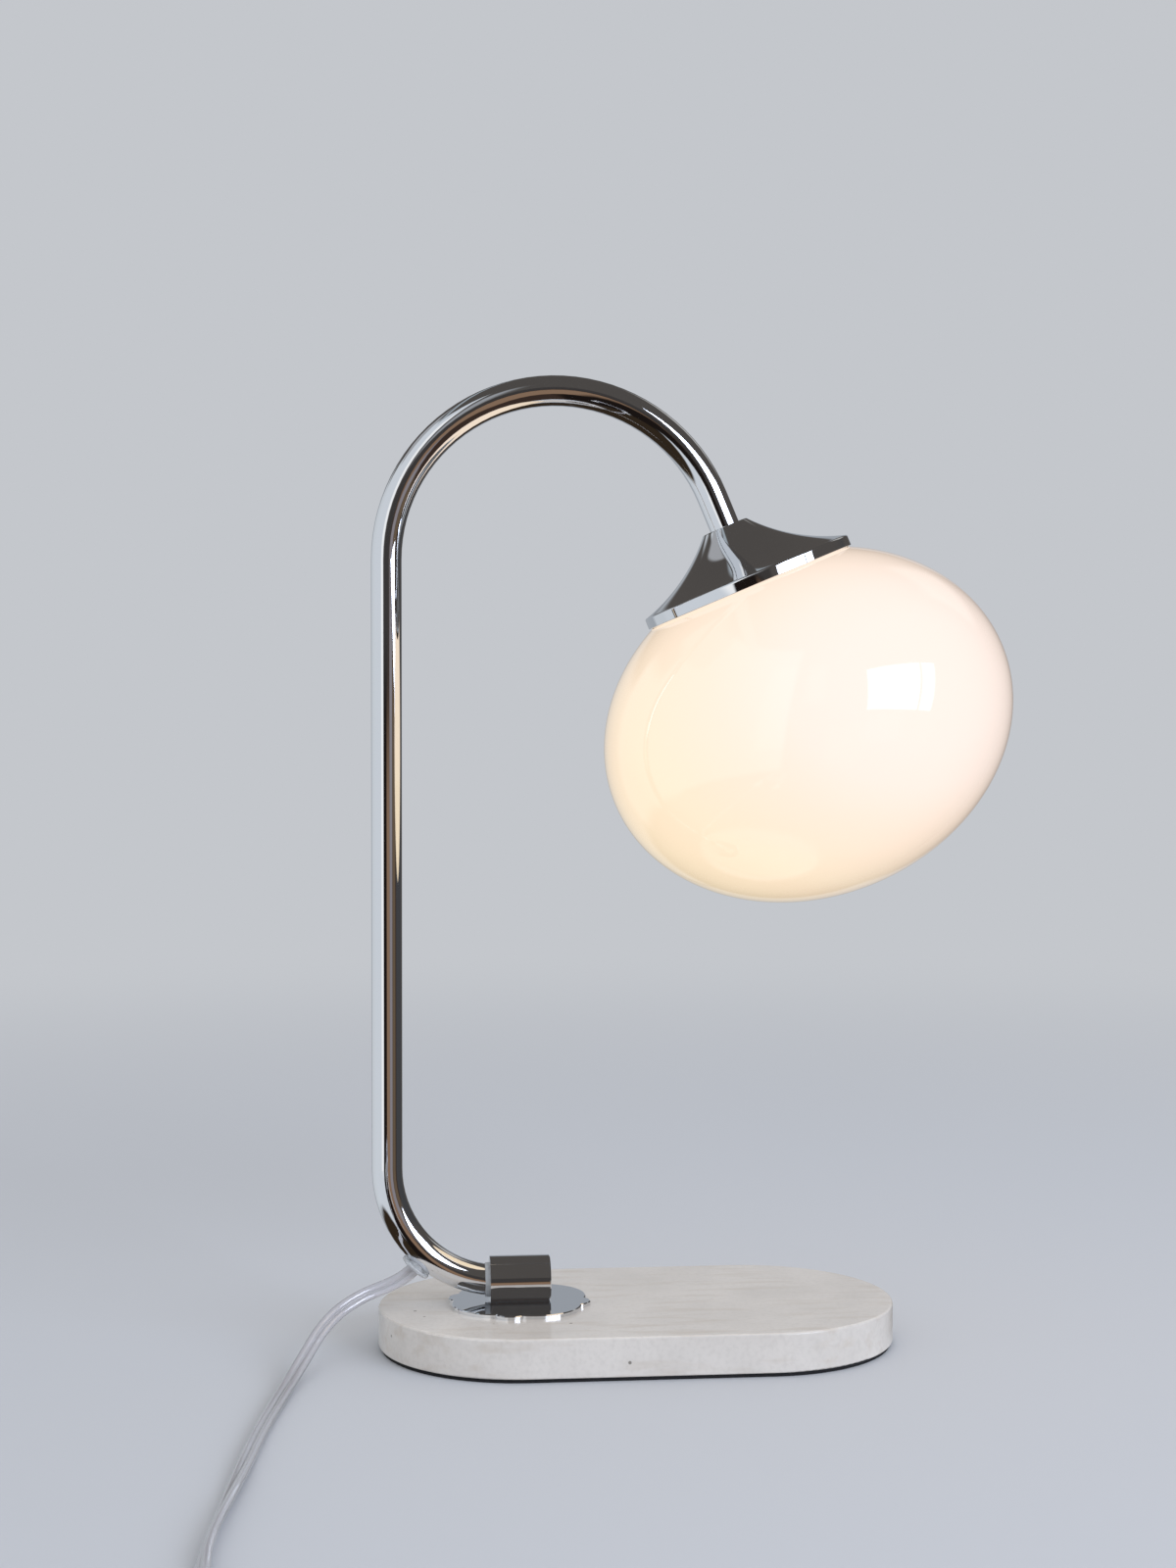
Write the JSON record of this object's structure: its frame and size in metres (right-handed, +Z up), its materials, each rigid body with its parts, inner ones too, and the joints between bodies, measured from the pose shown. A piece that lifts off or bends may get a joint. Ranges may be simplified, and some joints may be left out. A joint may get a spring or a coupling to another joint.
{
  "type": "table_lamp",
  "caption": "Chrome table lamp: a round tube arches up from a stadium-shaped marble slab and holds an opal glass globe under a flared cap, with a clear cord, rocker switch, coil and plug",
  "frame": {"origin": "centre of the underside of the base pad, which stands on the table", "axes": "+Z up; +X along the slab's length, from the arm towards the globe; -Y towards the viewer of the front"},
  "size_m": [0.4108, 0.6684, 0.5079],
  "materials": {
    "marble": "polished",
    "pad_rubber": "matte",
    "chrome": "polished",
    "zinc_steel": "satin",
    "brass": "satin",
    "brass_nickel": "polished",
    "aluminium_cap": "satin",
    "opal_glass": "gloss",
    "lit_bulb": "satin",
    "ceramic_white": "satin",
    "white_plastic": "satin",
    "white_gloss": "gloss",
    "clear_plastic": "gloss",
    "clear_pvc": "gloss"
  },
  "bodies": {
    "lamp": {"base_slab": "marble", "base_pad": "pad_rubber", "base_backing_plate": "zinc_steel", "base_washers": "zinc_steel", "base_screws": "zinc_steel", "rosette_plate": "chrome", "arm_socket": "chrome", "socket_ring": "clear_plastic", "arm_tube": "chrome", "arm_foot_insert": "zinc_steel", "cord_grommet": "clear_plastic", "arm_end_bush": "brass", "cap_nipple": "zinc_steel", "cap_washer": "zinc_steel", "cap_nuts": "zinc_steel", "shade_cap": "chrome", "shade_gallery": "zinc_steel", "glass_globe": "opal_glass", "lampholder_dome": "white_plastic", "lampholder_insert": "ceramic_white", "lampholder_sleeve": "white_plastic", "lampholder_shell": "brass", "lampholder_contact": "brass", "bulb_contact": "brass", "bulb_cap": "aluminium_cap", "bulb_collar": "white_plastic", "bulb_glass": "lit_bulb", "switch_lower_shell": "white_gloss", "switch_upper_shell": "white_gloss", "rocker_pin": "zinc_steel", "switch_screws": "zinc_steel", "switch_terminals": "brass", "plug_body": "white_gloss", "plug_pins": "brass_nickel", "plug_pin_sleeves": "white_plastic", "inner_lead": "clear_pvc", "cord_to_switch": "clear_pvc", "cord_coil": "clear_pvc", "cord_to_coil": "clear_pvc", "cord_to_plug": "clear_pvc"},
    "rocker": {"switch_rocker": "white_gloss"}
  },
  "joints": [
    {"name": "rocker_hinge", "type": "hinge", "parent": "lamp", "child": "rocker", "pos_m": [-0.2, -0.404, 0.0135], "axis": [-1, 0, 0], "range_deg": [0, 14]}
  ]
}
